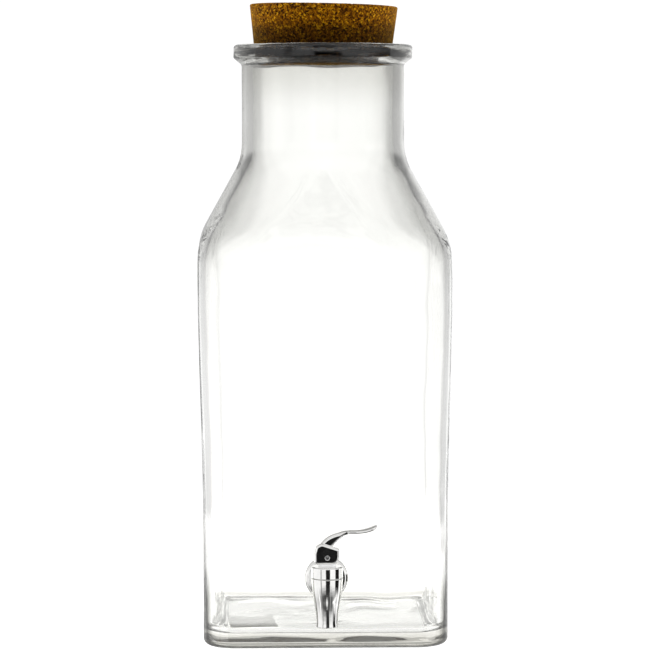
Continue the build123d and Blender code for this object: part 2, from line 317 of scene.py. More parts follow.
GLASS_IOR = 1.51
GLASS_WAVES = 0.12
CLEAR_GLASS = (0.995, 0.995, 0.985, 1)

# Painted shade on the outer skin by how far it turns away, for the glass's dark edges: 0 faces the eye, and 1
# is seen edge on
EDGE_STOPS = [
    (0.0, (0.90, 0.905, 0.88)),
    (0.16, (0.88, 0.885, 0.86)),
    (0.28, (0.78, 0.78, 0.76)),
    (0.39, (0.50, 0.50, 0.485)),
    (0.50, (0.33, 0.33, 0.315)),
    (0.62, (0.33, 0.33, 0.315)),
    (0.85, (0.40, 0.40, 0.385)),
    (1.0, (0.5, 0.5, 0.49)),
]
# Deeper painted shade by the same measure, for the dark band round the foot
LOW_EDGE_STOPS = [
    (0.25, grey(1.0)),
    (0.31, (0.66, 0.66, 0.64)),
    (0.39, (0.32, 0.32, 0.30)),
    (0.44, (0.14, 0.14, 0.13)),
    (0.50, (0.07, 0.07, 0.065)),
    (0.62, (0.20, 0.20, 0.19)),
    (1.0, grey(0.5)),
]

# Shares and tints by height, all painted shade: of the edge tints, of the low edge tints, and of foot and rim
DEPTH_STOPS = [
    (0.03, grey(0.75)),
    (0.06, grey(0.40)),
    (0.10, grey(0.16)),
    (0.19, grey(0.12)),
    (0.245, grey(0.36)),
    (0.31, grey(1.0)),
]
LOWNESS_STOPS = [(0.035, grey(1.0)), (0.065, grey(0.55)), (0.11, grey(0.08)), (0.18, grey(0.0))]
HEIGHT_STOPS = [
    (0.0085, (0.51, 0.50, 0.47)),
    (0.0150, grey(1.0)),
    (0.385, grey(1.0)),
    (0.424, (0.74, 0.735, 0.715)),
    (0.4305, (0.90, 0.89, 0.87)),
    (0.4394, (0.92, 0.92, 0.91)),
]
RIM_STOPS = [(0.4275, grey(0.0)), (0.4295, grey(1.0)), (0.4385, grey(1.0)), (0.4394, grey(0.3))]

# Streaks of painted shade drawn out round the rim, by noise level, and the noise's scale along X, Y and Z
RIM_SHADE_STOPS = [(0.44, grey(0.003)), (0.495, (0.09, 0.085, 0.075)), (0.525, grey(0.6)), (0.55, grey(1.0))]
RIM_SHADE_SCALE = (24, 24, 230)

CORK_STOPS = [
    (0.0, (0.035, 0.008, 0.0003)),
    (0.18, (0.13, 0.040, 0.0008)),
    (0.45, (0.32, 0.110, 0.0012)),
    (0.8, (0.50, 0.190, 0.0018)),
    (1.0, (0.95, 0.46, 0.012)),
]
CORK_PIT_STOPS = [(0.41, grey(0.02)), (0.47, grey(0.75)), (0.58, grey(1.1)), (0.66, grey(1.9))]

# Painted shade on the cork by height: darker towards the mouth
CORK_SHADE_STOPS = [(0.4385, grey(0.14)), (0.4405, grey(0.24)), (0.4500, grey(0.40)), (0.4570, grey(1.0))]


def glass_material(name):
    """Clear glass, faintly wavy and without a tint of its own."""
    made, tree, shader = material(name)
    shader.inputs["Transmission Weight"].default_value = 1.0
    shader.inputs["Roughness"].default_value = 0.0
    shader.inputs["IOR"].default_value = GLASS_IOR
    add_bump(tree, shader, noise_texture(tree, 22, 1.0), 0.0006, GLASS_WAVES)
    return made, tree, shader


def upright_share(tree):
    """1 on upright faces and 0 on level ones."""
    normal = node(tree, "ShaderNodeNewGeometry").outputs["Normal"]
    steep = node(tree, "ShaderNodeMath", operation="ABSOLUTE")
    tree.links.new(split(tree, normal)["Z"], steep.inputs[0])
    return ramp(tree, steep.outputs["Value"], [(0.6, grey(1.0)), (0.95, grey(0.0))])


def painted_rim_shade(tree, coords):
    """Streaks of painted shade drawn out round the rim, dark and clear."""
    stretched = node(tree, "ShaderNodeVectorMath", operation="MULTIPLY")
    tree.links.new(coords, stretched.inputs[0])
    stretched.inputs[1].default_value = RIM_SHADE_SCALE
    shade_streaks = node(tree, "ShaderNodeTexNoise", in_Scale=1.0, in_Detail=4.0, in_Roughness=0.6, in_Distortion=0.6)
    tree.links.new(stretched.outputs["Vector"], shade_streaks.inputs["Vector"])
    return ramp(tree, shade_streaks.outputs["Fac"], RIM_SHADE_STOPS)


def outer_glass():
    """The outer skin, with painted shade where it turns away, most of all round the neck, shoulder and foot,
    and in streaks round the rim.
    """
    made, tree, shader = glass_material("glass_outside")
    facing = node(tree, "ShaderNodeLayerWeight", in_Blend=0.5).outputs["Facing"]
    coords = object_place(tree)
    height = split(tree, coords)["Z"]
    edge = ramp(tree, facing, EDGE_STOPS, "EASE")
    tint = mix_colours(tree, CLEAR_GLASS, edge, ramp(tree, height, DEPTH_STOPS, "EASE"), "MIX")
    tint = mix_colours(tree, tint, ramp(tree, height, HEIGHT_STOPS, "EASE"), upright_share(tree))
    tint = mix_colours(tree, tint, painted_rim_shade(tree, coords), ramp(tree, height, RIM_STOPS))
    low_edge = ramp(tree, facing, LOW_EDGE_STOPS)
    tint = mix_colours(tree, tint, low_edge, ramp(tree, height, LOWNESS_STOPS, "EASE"))
    tree.links.new(tint, shader.inputs["Base Color"])
    return made


def inner_glass():
    """The inner skin, faintly warm as plain bottle glass is in its thickness."""
    made, tree, shader = glass_material("glass_inside")
    facing = node(tree, "ShaderNodeLayerWeight", in_Blend=0.5)
    tint = ramp(tree, facing.outputs["Facing"], [(0.0, (1.0, 1.0, 0.995)), (1.0, (0.94, 0.94, 0.92))])
    tree.links.new(tint, shader.inputs["Base Color"])
    return made


def chrome_material():
    """Polished chrome plate over a casting, with the faintest unevenness."""
    made, tree, shader = material("chrome_plate")
    shader.inputs["Metallic"].default_value = 1.0
    smudge = noise_texture(tree, 160, 5.0)
    colours = [(0.3, (0.83, 0.825, 0.81)), (0.7, (0.92, 0.915, 0.90))]
    paint(tree, shader, smudge, colours, [(0.35, grey(0.03)), (0.75, grey(0.09))])
    add_bump(tree, shader, noise_texture(tree, 240, 2.0), 0.00006, 0.6)
    return made


def steel_material(name, base, roughness):
    """Turned or stamped stainless steel."""
    made, tree, shader = material(name)
    shader.inputs["Metallic"].default_value = 1.0
    streak = noise_texture(tree, 600, 6.0)
    colours = [(0.3, grey(base * 0.82)), (0.7, grey(base))]
    paint(tree, shader, streak, colours, [(0.3, grey(roughness)), (0.7, grey(roughness + 0.15))])
    add_bump(tree, shader, streak, 0.00003, 0.5)
    return made


def silicone_material():
    """Milky food-grade silicone."""
    made, tree, shader = material("silicone_seal")
    shader.inputs["Subsurface Weight"].default_value = 0.4
    shader.inputs["Subsurface Radius"].default_value = (0.003, 0.003, 0.003)
    shader.inputs["Subsurface Scale"].default_value = 1.0
    mottle = noise_texture(tree, 300, 4.0)
    colours = [(0.3, (0.70, 0.71, 0.70)), (0.7, (0.80, 0.81, 0.80))]
    paint(tree, shader, mottle, colours, [(0.3, grey(0.38)), (0.7, grey(0.55))])
    add_bump(tree, shader, mottle, 0.00004, 0.4)
    return made


def plastic_material():
    """Moulded white plastic, with a painted glow that lifts it a little as if light came through it."""
    made, tree, shader = material("white_plastic")
    grain = noise_texture(tree, 900, 5.0)
    # Painted light: a faint glow lifts the white plastic
    shader.inputs["Emission Color"].default_value = (1, 1, 1, 1)
    shader.inputs["Emission Strength"].default_value = 0.3
    colours = [(0.3, grey(0.90)), (0.7, grey(0.97))]
    paint(tree, shader, grain, colours, [(0.3, grey(0.35)), (0.7, grey(0.5))])
    add_bump(tree, shader, grain, 0.00003, 0.4)
    return made


def paper_material():
    """A plain pale label with fine fibres, with a painted glow that lifts it a little as if light came
    through it.
    """
    made, tree, shader = material("label_paper")
    fibre = noise_texture(tree, 1500, 8.0, 0.7)
    colours = [(0.3, (0.80, 0.80, 0.77)), (0.7, (0.90, 0.90, 0.87))]
    tree.links.new(ramp(tree, fibre, colours), shader.inputs["Base Color"])
    shader.inputs["Roughness"].default_value = 0.75
    # Painted light: a faint glow lifts the label
    shader.inputs["Emission Color"].default_value = (1, 1, 0.97, 1)
    shader.inputs["Emission Strength"].default_value = 0.2
    add_bump(tree, shader, fibre, 0.00005, 0.5)
    return made


def warped_place(tree):
    """The object's own coordinates, shaken a little so that cork granules get ragged edges."""
    coords = object_place(tree)
    warp = node(tree, "ShaderNodeTexNoise", in_Scale=700.0, in_Detail=3.0)
    tree.links.new(coords, warp.inputs["Vector"])
    shift = node(tree, "ShaderNodeVectorMath", operation="SCALE", in_Scale=0.0012)
    tree.links.new(warp.outputs["Color"], shift.inputs[0])
    place = node(tree, "ShaderNodeVectorMath", operation="ADD")
    tree.links.new(coords, place.inputs[0])
    tree.links.new(shift.outputs["Vector"], place.inputs[1])
    return place.outputs["Vector"]


def cork_material():
    """Agglomerated cork: fine packed granules of several browns, with dark pits and pale flecks."""
    made, tree, shader = material("cork_granules")
    place = warped_place(tree)
    granule = node(tree, "ShaderNodeTexVoronoi", in_Scale=780.0)
    tree.links.new(place, granule.inputs["Vector"])
    tone = node(tree, "ShaderNodeSeparateColor")
    tree.links.new(granule.outputs["Color"], tone.inputs["Color"])
    pit = node(tree, "ShaderNodeTexNoise", in_Scale=1200.0, in_Detail=6.0, in_Roughness=0.7)
    tree.links.new(place, pit.inputs["Vector"])
    body = ramp(tree, tone.outputs["Red"], CORK_STOPS)
    pitted = mix_colours(tree, body, ramp(tree, pit.outputs["Fac"], CORK_PIT_STOPS))
    height = split(tree, object_place(tree))["Z"]
    # Painted shade: the cork darkens towards the mouth
    mouth_shaded = mix_colours(tree, pitted, ramp(tree, height, CORK_SHADE_STOPS, "EASE"))
    roughness = ramp(tree, pit.outputs["Fac"], [(0.3, grey(0.95)), (0.7, grey(0.7))])
    tree.links.new(mouth_shaded, shader.inputs["Base Color"])
    tree.links.new(roughness, shader.inputs["Roughness"])
    shader.inputs["Specular IOR Level"].default_value = 0.06
    shader.inputs["Sheen Weight"].default_value = 0.6
    shader.inputs["Sheen Roughness"].default_value = 0.3
    shader.inputs["Sheen Tint"].default_value = (1.0, 0.55, 0.05, 1)
    add_bump(tree, shader, pit.outputs["Fac"], 0.0005, 0.8)
    return made


glass_outside = outer_glass()
glass_inside = inner_glass()
chrome = chrome_material()
bright_steel = steel_material("bright_steel", 0.72, 0.16)
dull_steel = steel_material("dull_steel", 0.55, 0.3)
silicone = silicone_material()
white_plastic = plastic_material()
label_paper = paper_material()
cork = cork_material()


def wear(obj, *materials):
    """Gives an object its materials, one for each slot."""
    obj.data.materials.clear()
    for one in materials:
        obj.data.materials.append(one)


def stand_for(obj, body, slot, *nodes):
    """Puts a piece on its body, in place of CAD nodes."""
    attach(obj, body)
    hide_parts(*nodes)


# ---------------------------------------------------------------- glass bottle

# Points round the bottle, and the share by which their steps shrink at its corners
AROUND = 352
CORNER_CLUSTER = 0.55
WALL = INSIDE_Y - FACE_Y
LOW_HALF = -FACE_Y
FLOOR_Z = 10 * MM
NECK_RADIUS = 60.8 * MM
MOUTH_RADIUS = 52.3 * MM
RIM_RADIUS = 67 * MM
RIM_BOTTOM_Z = JAR_HEIGHT - 9.9 * MM
BEVEL = 5 * MM
SHOULDER_LOW_Z = 297.4 * MM
SHOULDER_HIGH_Z = 355.6 * MM
SHOULDER_ROUNDING = 42 * MM
STRAIGHT_TOP_Z = 112 * MM
BODY_TOP_Z = 244 * MM
PUSH_UP = 1.7 * MM
PUSH_UP_HALF = 73.5 * MM
FOOT_HALF = 76.5 * MM
HEEL = 5.8 * MM
LIP_ROUNDING = 2.2 * MM
FLOOR_ROUNDING = 9 * MM
FLOOR_CROWN = 1.2 * MM
ARCH = 5 * MM
LOW_CORNER_SHARE = 0.222
HIGH_CORNER_SHARE = 0.345
PROFILE_STEP = 0.004
PROFILE_ARC = math.radians(6)
OUTSIDE_WAVES = 0.00012
INSIDE_WAVES = 0.00035


def outside_profile():
    """The bottle's outer half widths and heights, from under the foot's middle to the mouth's edge."""
    return [
        (0, PUSH_UP, 0),
        (PUSH_UP_HALF, PUSH_UP, 0.0015),
        (FOOT_HALF, 0.0, 0.0015),
        (LOW_HALF, 0.0, HEEL),
        (LOW_HALF, STRAIGHT_TOP_Z, 0.9),
        (BODY_HALF - 0.25 * MM, BODY_TOP_Z, 0.6),
        (BODY_HALF - 0.05 * MM, SHOULDER_LOW_Z, SHOULDER_ROUNDING),
        (NECK_RADIUS, SHOULDER_HIGH_Z, SHOULDER_ROUNDING),
        (NECK_RADIUS, RIM_BOTTOM_Z - BEVEL, 0.003),
        (RIM_RADIUS, RIM_BOTTOM_Z, 0.002),
        (RIM_RADIUS, JAR_HEIGHT, LIP_ROUNDING),
        (MOUTH_RADIUS, JAR_HEIGHT, LIP_ROUNDING),
    ]


def inside_profile():
    """The cavity's half widths and heights, from the mouth's edge to the middle of the floor."""
    return [
        (MOUTH_RADIUS, JAR_HEIGHT, LIP_ROUNDING),
        (MOUTH_RADIUS, SHOULDER_HIGH_Z, SHOULDER_ROUNDING),
        (BODY_HALF - WALL, SHOULDER_LOW_Z - 3 * MM, SHOULDER_ROUNDING * 0.9),
        (BODY_HALF - 0.25 * MM - WALL, BODY_TOP_Z, 0.6),
        (LOW_HALF - WALL, STRAIGHT_TOP_Z, 0.9),
        (LOW_HALF - WALL, FLOOR_Z, FLOOR_ROUNDING),
        (0, FLOOR_Z + FLOOR_CROWN, 0),
    ]


def filled(points, longest):
    """The points with more put in, so that no step is over the longest."""
    result = [points[0]]
    for before, after in zip(points, points[1:]):
        steps = max(1, math.ceil((after - before).length / longest))
        result.extend(before.lerp(after, k / steps) for k in range(1, steps + 1))
    return result


def corner_share(z):
    """The corner radius as a share of the half width: rounded square below, round above."""
    body = LOW_CORNER_SHARE + (HIGH_CORNER_SHARE - LOW_CORNER_SHARE) * smoothstep(0.09, 0.27, z)
    return body + (1 - body) * smoothstep(0.266, 0.361, z)


def square_reach(half, corner, angle):
    """The distance from the axis to a rounded square's edge, at an angle."""
    wide = max(abs(math.cos(angle)), abs(math.sin(angle)))
    narrow = min(abs(math.cos(angle)), abs(math.sin(angle)))
    core = half - corner
    if half * narrow / wide <= core:
        return half / wide
    along = core * (wide + narrow)
    return along + math.sqrt(max(0.0, along * along - 2 * core * core + corner * corner))


def jar_angles():
    """Angles round the axis, closer together at the corners."""
    return [a + CORNER_CLUSTER / 4 * math.sin(4 * a) for a in circle(AROUND)]


def arch_lift(z, angle):
    """How far the shoulder starts lower at the corners than at the middle of each face."""
    zone = smoothstep(0.224, 0.294, z) * (1 - smoothstep(0.314, 0.363, z))
    return -ARCH * zone * math.sin(2 * angle) ** 2


def floor_wave(point):
    """The uneven inner floor: ridges in the moulded glass that fade out towards its edge."""
    reach = max(abs(point.x), abs(point.y))
    ridge = 1 - abs(noise.noise(Vector((point.x * 20, point.y * 26, 3.7)))) * 2.6
    swell = noise.noise(Vector((point.x * 11, point.y * 14, 9.1)))
    behind = 0.35 + 0.65 * smoothstep(-0.03, 0.03, point.y)
    return (0.0007 * ridge + 0.0012 * swell) * behind * (1 - 0.5 * smoothstep(0.06, 0.084, reach))


def glass_wave(point, waviness):
    """How far a point of the glass stands out: the slight waves of moulded glass, and ripples in the rim."""
    wave = noise.noise(point * 26) + 0.5 * noise.noise(point * 61)
    calm = smoothstep(0.014, 0.05, (point - Vector((0, FACE_Y, SHANK_Z))).length)
    rim = smoothstep(RIM_BOTTOM_Z - 0.008, RIM_BOTTOM_Z, point.z)
    ripple = 0.00040 * noise.noise(Vector((point.x * 40, point.y * 40, point.z * 230)))
    return waviness * wave * calm * smoothstep(0.012, 0.03, point.z) + (ripple - 0.0002) * rim


def jar_rings(profile, inset, waviness):
    """Rings of points for one side of the glass; the side with an inset gets the uneven floor."""
    rings = []
    for half, z in profile:
        if half < 1e-6:
            rings.append([Vector((0, 0, z))])
            continue
        share = corner_share(z)
        corner = max(share * (half + inset) - inset, 0.06 * half) if share < 0.999 else half
        ring = []
        for angle in jar_angles():
            reach = square_reach(half, min(corner, half), angle)
            point = Vector((reach * math.cos(angle), reach * math.sin(angle), z + arch_lift(z, angle)))
            out = Vector((math.cos(angle), math.sin(angle), 0))
            point += out * glass_wave(point, waviness)
            if inset > 0:
                low = 1 - smoothstep(FLOOR_Z + 0.004, FLOOR_Z + 0.03, z)
                point.z += floor_wave(point) * (1 - smoothstep(FLOOR_Z + 0.003, FLOOR_Z + 0.012, z))
                uneven = 0.0012 * noise.noise(point * 38) - 0.0008
                point += out * low * smoothstep(0.06, 0.08, half) * uneven
            ring.append(point)
        rings.append(ring)
    return rings


def make_jar():
    """The bottle as one closed shell of glass, with one material outside and another inside."""
    outer = filled(rounded_outline(outside_profile(), PROFILE_ARC), PROFILE_STEP)
    inner = filled(rounded_outline(inside_profile(), PROFILE_ARC), PROFILE_STEP)[1:]
    outer_rings = jar_rings(outer, 0.0, OUTSIDE_WAVES)
    inner_rings = jar_rings(inner, WALL, INSIDE_WAVES)
    jar = rings_to_object("jar_glass", outer_rings + inner_rings)
    wear(jar, glass_outside, glass_inside)
    outer_faces = AROUND * (len(outer_rings) - 1)
    inside = np.zeros(len(jar.data.polygons), dtype=np.int32)
    inside[outer_faces:] = 1
    jar.data.polygons.foreach_set("material_index", inside)
    turn = Matrix.Translation((0, (FACE_Y + INSIDE_Y) / 2, SHANK_Z)) @ Matrix.Rotation(math.pi / 2, 4, "X")
    drill = lathe("drill", pin_outline(HOLE_RADIUS, 0.006), turn, 64)
    boolean(jar, drill, "DIFFERENCE")
    stand_for(jar, "root", "clear_glass", "glass_jar")


# ---------------------------------------------------------------- cork stopper

CORK_LEAN = math.radians(1.2)
CORK_TAPER = math.radians(6.8)
CORK_TOP_RADIUS = 55.3 * MM
CORK_BOTTOM_Z = 428.5 * MM
CORK_HEIGHT = 40.0 * MM
GRAIN_SCALE = 620
PIT_DEPTH = 0.00075


def make_cork():
    """The tapered cork, its surface broken up by granules and pits."""
    bottom = CORK_TOP_RADIUS - CORK_HEIGHT * math.tan(CORK_TAPER)
    low = CORK_BOTTOM_Z - JAR_HEIGHT
    high = low + CORK_HEIGHT
    outline = rounded_outline(
        [(0, low, 0), (bottom, low, 0.0012), (CORK_TOP_RADIUS, high, 0.0012), (0, high, 0)], math.radians(15)
    )
    place = Matrix.Translation((0, 0, JAR_HEIGHT)) @ Matrix.Rotation(CORK_LEAN, 4, "Y")
    stopper = lathe("cork_plug", filled(outline, 0.0009), place, 420)
    for vertex, normal in zip(stopper.data.vertices, [v.normal.copy() for v in stopper.data.vertices]):
        point = vertex.co * GRAIN_SCALE
        pit = max(0.0, noise.noise(point) - 0.18) + 0.5 * max(0.0, noise.noise(point * 2.3) - 0.2)
        vertex.co -= normal * (PIT_DEPTH * pit + 0.00002)
    stopper.data.update()
    wear(stopper, cork)
    stand_for(stopper, "cork", "agglomerated_cork", "cork_stopper")


# ---------------------------------------------------------------- tap

BARREL_RADIUS = 11.3 * MM
FLANGE_RADIUS = 15.7 * MM
NOZZLE_BORE = 5.5 * MM
STEM_HOLE = 3.1 * MM
COLLAR_BORE = 9.5 * MM
BARREL_TOP_RADIUS = 9.3 * MM
ROUND_STEPS = 6


def tap_place(z=0.0):
    """Local Z along the tap's vertical axis."""
    return Matrix.Translation((0, TAP_Y, z))


def shank_place(y):
    """Local Z along the shank, into the bottle."""
    return Matrix.Translation((0, y, SHANK_Z)) @ Matrix.Rotation(-math.pi / 2, 4, "X")


def make_spigot():
    """Barrel, nozzle, arm, flange and shank as one chromed casting."""
    low, seam = spigot_low.z, bonnet_low.z
    barrel = lathe(
        "tap_body",
        rounded_outline(
            [
                (0, low + 0.016, 0),
                (NOZZLE_BORE, low + 0.0155, 0.0003),
                (NOZZLE_BORE, low, 0.0004),
                (0.0080, low, 0.0006),
                (0.0077, low + 0.004, 0.01),
                (0.0076, 0.0318, 0.07),
                (BARREL_RADIUS, 0.0482, 0.07),
                (BARREL_RADIUS, seam - 0.0002, 0.0004),
                (BARREL_TOP_RADIUS, seam - 0.0002, 0.0003),
                (BARREL_TOP_RADIUS, seam + 0.004, 0.0003),
                (0, seam + 0.004, 0),
            ]
        ),
        tap_place(),
        128,
    )
    arm_front = TAP_Y + 0.004
    flange_back = outer_washer_low.y
    arm = lathe(
        "arm",
        rounded_outline(
            [
                (0, 0, 0),
                (0.0074, 0, 0.0003),
                (0.0068, flange_back - 0.0042 - arm_front, 0.0025),
                (0.0140, flange_back - 0.0034 - arm_front, 0.0022),
                (FLANGE_RADIUS, flange_back - 0.0018 - arm_front, 0.0016),
                (FLANGE_RADIUS, flange_back - arm_front, 0.0004),
                (0, flange_back - arm_front, 0),
            ]
        ),
        shank_place(arm_front),
        128,
    )
    shank = make_shank(flange_back - 0.001)
    boolean(barrel, arm, "UNION")
    boolean(barrel, shank, "UNION")
    even_normals(barrel)
    wear(barrel, chrome)
    stand_for(barrel, "root", "chrome_casting", "spigot_body")


def make_shank(front):
    """The hollow shank with a real helical thread."""
    pitch = 0.0015
    crest, root = 0.0079, 0.0072
    bore = 0.0046
    thread_start, run_out = 0.008, 0.002
    segments = 48
    length = spigot_high.y - front
    row_height = pitch / 6
    rings = [ring_at(bore, 0.002, segments), ring_at(crest, 0, segments)]
    for row in range(int((length - 0.0004) / row_height)):
        h = (row + 1) * pitch / 6
        cut = smoothstep(thread_start, thread_start + run_out, h)
        ring = []
        for angle in circle(segments):
            phase = (h / pitch - angle / math.tau) % 1.0
            groove = abs(phase - 0.5) * 2
            r = crest - (crest - root) * cut * (1 - groove)
            ring.append(Vector((r * math.cos(angle), r * math.sin(angle), h)))
        rings.append(ring)
    rings += [ring_at(root, length, segments), ring_at(bore, length, segments)]
    place = shank_place(front)
    rings = [[place @ point for point in ring] for ring in rings]
    return rings_to_object("shank", rings, closed=True)


def make_bonnet():
    """The chromed collar with softened edges."""
    low, high = bonnet_low.z, bonnet_high.z
    outline = rounded_outline(
        [
            (COLLAR_BORE, low + 0.003, 0),
            (COLLAR_BORE, low, 0.0003),
            (BARREL_RADIUS, low, 0.0005),
            (BARREL_RADIUS, high, 0.0011),
            (STEM_HOLE, high, 0.0003),
            (STEM_HOLE, high - 0.002, 0),
        ]
    )
    bonnet = lathe("collar", outline, tap_place(), 128, closed=True)
    even_normals(bonnet)
    wear(bonnet, chrome)
    stand_for(bonnet, "root", "chrome_casting", "bonnet")


def make_washer(name, radius, bore, thickness, place, finish, body, slot, cad_node):
    """A washer with rounded edges."""
    edge = min(0.0004, thickness * 0.3)
    outline = rounded_outline(
        [
            (bore, thickness / 2, 0),
            (bore, 0, edge),
            (radius, 0, edge),
            (radius, thickness, edge),
            (bore, thickness, edge),
            (bore, thickness / 2 + 1e-5, 0),
        ],
        math.radians(20),
    )
    washer = lathe(name, outline, place, 96, closed=True)
    even_normals(washer)
    wear(washer, finish)
    stand_for(washer, body, slot, cad_node)


def make_washers():
    """The washers on the shank, and the one that the lever rolls on."""
    shank_washers = [
        ("front_seal", 0.0142, outer_washer_low.y, outer_washer_high.y, silicone, "silicone", "outer_washer"),
        ("back_seal", 0.0145, inner_washer_low.y, inner_washer_high.y, silicone, "silicone", "inner_washer"),
        ("plain_washer", 0.0132, slip_washer_low.y, slip_washer_high.y, bright_steel, "steel", "slip_washer"),
    ]
    for name, radius, front, back, finish, slot, cad_node in shank_washers:
        thickness, place = back - front, shank_place(front)
        make_washer(name, radius, HOLE_RADIUS, thickness, place, finish, "root", slot, cad_node)
    thickness = thrust_high.z - thrust_low.z
    place = tap_place(thrust_low.z)
    look = (white_plastic, "swivel", "white_plastic")
    make_washer("rolling_washer", 0.0064, 0.0032, thickness, place, *look, "thrust_washer")


def hex_block(name, corners, thickness):
    """A six-sided block about local Z."""
    mesh = bpy.data.meshes.new(name)
    bm = bmesh.new()
    face = bm.faces.new([bm.verts.new(point) for point in ring_at(corners, 0, 6)])
    top = bmesh.ops.extrude_face_region(bm, geom=[face])["geom"]
    lifted = [part for part in top if isinstance(part, bmesh.types.BMVert)]
    bmesh.ops.translate(bm, verts=lifted, vec=(0, 0, thickness))
    bmesh.ops.recalc_face_normals(bm, faces=bm.faces)
    bm.to_mesh(mesh)
    bm.free()
    return new_object(name, mesh)


def make_nut():
    """The hex nut inside the bottle, with bevelled corners."""
    thickness = nut_high.y - nut_low.y
    flats = 0.012
    corners = flats / math.cos(math.pi / 6)
    chamfer = 0.0012
    place = shank_place(nut_low.y)
    nut = hex_block("hex_nut", corners, thickness)
    nut.data.transform(place)
    cone_outline = rounded_outline(
        [
            (0, 0, 0),
            (corners - chamfer, 0, 0.0002),
            (corners + 0.0006, chamfer, 0.0003),
            (corners + 0.0006, thickness - chamfer, 0.0003),
            (corners - chamfer, thickness, 0.0002),
            (0, thickness, 0),
        ]
    )
    boolean(nut, lathe("cone", cone_outline, place, 96), "INTERSECT")
    bore_radius = 0.00795
    bottom, top = -0.001, thickness + 0.001
    bore_outline = [(0, bottom), (bore_radius, bottom), (bore_radius, top), (0, top)]
    boolean(nut, lathe("bore", bore_outline, place, 64), "DIFFERENCE")
    bevel = nut.modifiers.new("bevel", "BEVEL")
    bevel.width = 0.00025
    bevel.segments = 2
    bevel.limit_method = "ANGLE"
    apply_modifiers(nut)
    nut.data.shade_smooth()
    even_normals(nut)
    wear(nut, bright_steel)
    stand_for(nut, "root", "steel", "mounting_nut")


def prism(name, outline, half_width):
    """A slab across the lever, from (x, z) points relative to the pin."""
    sides = (TAP_Y - half_width, TAP_Y + half_width)
    rings = [[Vector((x, y, PIN_Z + z)) for x, z in outline] for y in sides]
    return rings_to_object(name, rings, capped=True)


def rounded_prism(name, outline, half_width, rounding):
    """A slab across the lever whose edges are quarter rounds, from (x, z) points relative to the pin."""
    line = [Vector(p) for p in outline]
    area = sum(a.x * b.y - b.x * a.y for a, b in zip(line, line[1:] + line[:1]))
    inward = []
    for before, after in zip(line[-1:] + line[:-1], line[1:] + line[:1]):
        along = (after - before).normalized()
        inward.append(Vector((-along.y, along.x)) * math.copysign(1, area))
    turns = [math.pi / 2 * k / ROUND_STEPS for k in range(ROUND_STEPS + 1)]
    rings = []
    for side, turn in [(-1, t) for t in reversed(turns)] + [(1, t) for t in turns]:
        y = TAP_Y + side * (half_width - rounding * (1 - math.sin(turn)))
        inset = rounding * (1 - math.cos(turn))
        ring = []
        for p, n in zip(line, inward):
            ring.append(Vector((p.x + n.x * inset, y, PIN_Z + p.y + n.y * inset)))
        rings.append(ring)
    return rings_to_object(name, rings, capped=True)


def curve_through(points, samples):
    """A smooth line through a few points, as Catmull-Rom spans."""
    line = [Vector(p) for p in points]
    ends = [2 * line[0] - line[1]] + line + [2 * line[-1] - line[-2]]
    result = []
    for i in range(1, len(ends) - 2):
        a, b, c, d = ends[i - 1 : i + 3]
        for k in range(samples):
            t = k / samples
            square = 2 * a - 5 * b + 4 * c - d
            cube = 3 * b - a - 3 * c + d
            result.append(0.5 * (2 * b + (c - a) * t + square * t ** 2 + cube * t ** 3))
    result.append(line[-1])
    return result


# The paddle: x and z of its middle line from the pin, half width and thickness, in millimetres
PADDLE_STATIONS = [
    (7.5, 16.0, 4.2, 2.7),
    (12.0, 17.4, 4.1, 2.8),
    (17.0, 17.8, 3.8, 2.8),
    (22.0, 17.9, 4.2, 2.9),
    (27.0, 18.6, 5.7, 3.2),
    (31.5, 20.0, 6.8, 3.4),
    (34.2, 21.3, 6.2, 3.0),
    (35.7, 22.3, 4.2, 1.9),
]

# The hooked neck's side outline from the pin, in millimetres: over its back, then along its underside
NECK_BACK = [(-5.4, 8.6), (-3.6, 11.2), (-0.6, 14.0), (3.0, 16.0), (7.0, 17.4), (11.7, 18.3), (16.0, 18.6)]
NECK_UNDERSIDE = [(16.0, 17.2), (13.4, 16.0), (11.0, 14.4), (8.6, 12.4), (6.0, 9.9), (3.9, 7.9)]

# Where the neck's outline closes inside the fork, and sizes of lever and pin, in metres
NECK_ROOT = [(0.0030, 0.005), (-0.004, 0.005)]
NECK_HALF_WIDTH = 0.0047
NECK_ROUNDING = 0.0022
PADDLE_POWER = 0.75
CHEEK_HALF_WIDTH = 0.006
CHEEK_ROUNDING = 0.0017
SLOT_HALF_WIDTH = 0.0032
VOXEL = 0.00016
PIN_HOLE_RADIUS = 0.00155
PIN_RADIUS = 0.0015
PIN_SUNK = 0.25 * MM


def make_neck():
    """The hooked neck between fork and paddle, flat on its sides and rounded along its edges."""
    line = curve_through(NECK_BACK, 4) + curve_through(NECK_UNDERSIDE, 4)
    outline = [(x * MM, z * MM) for x, z in line] + NECK_ROOT
    return rounded_prism("neck", outline, NECK_HALF_WIDTH, NECK_ROUNDING)


def make_paddle():
    """The thin strip that widens and rises to a rounded tip, as one sweep of flat rounded sections."""
    line = curve_through(PADDLE_STATIONS, 8)
    rings = []
    for i, station in enumerate(line):
        ahead = line[min(i + 1, len(line) - 1)] - line[max(i - 1, 0)]
        along = Vector((ahead[0], 0, ahead[1])).normalized()
        up = Vector((-along.z, 0, along.x))
        centre = Vector((station[0] * MM, TAP_Y, PIN_Z + station[1] * MM))
        half, thick = station[2] * MM, station[3] * MM / 2
        ring = []
        for angle in circle(40):
            c, s = math.cos(angle), math.sin(angle)
            y = math.copysign(abs(c) ** PADDLE_POWER, c) * half
            n = math.copysign(abs(s) ** PADDLE_POWER, s) * thick
            ring.append(centre + Vector((0, y, 0)) + up * n)
        rings.append(ring)
    first, last = rings[0], rings[-1]
    rings = [[sum(first, Vector()) / len(first)]] + rings + [[sum(last, Vector()) / len(last)]]
    return rings_to_object("paddle", rings)


def cross_place():
    """Local Z along the pin, across the lever."""
    return Matrix.Translation((0, TAP_Y, PIN_Z)) @ Matrix.Rotation(math.pi / 2, 4, "X")


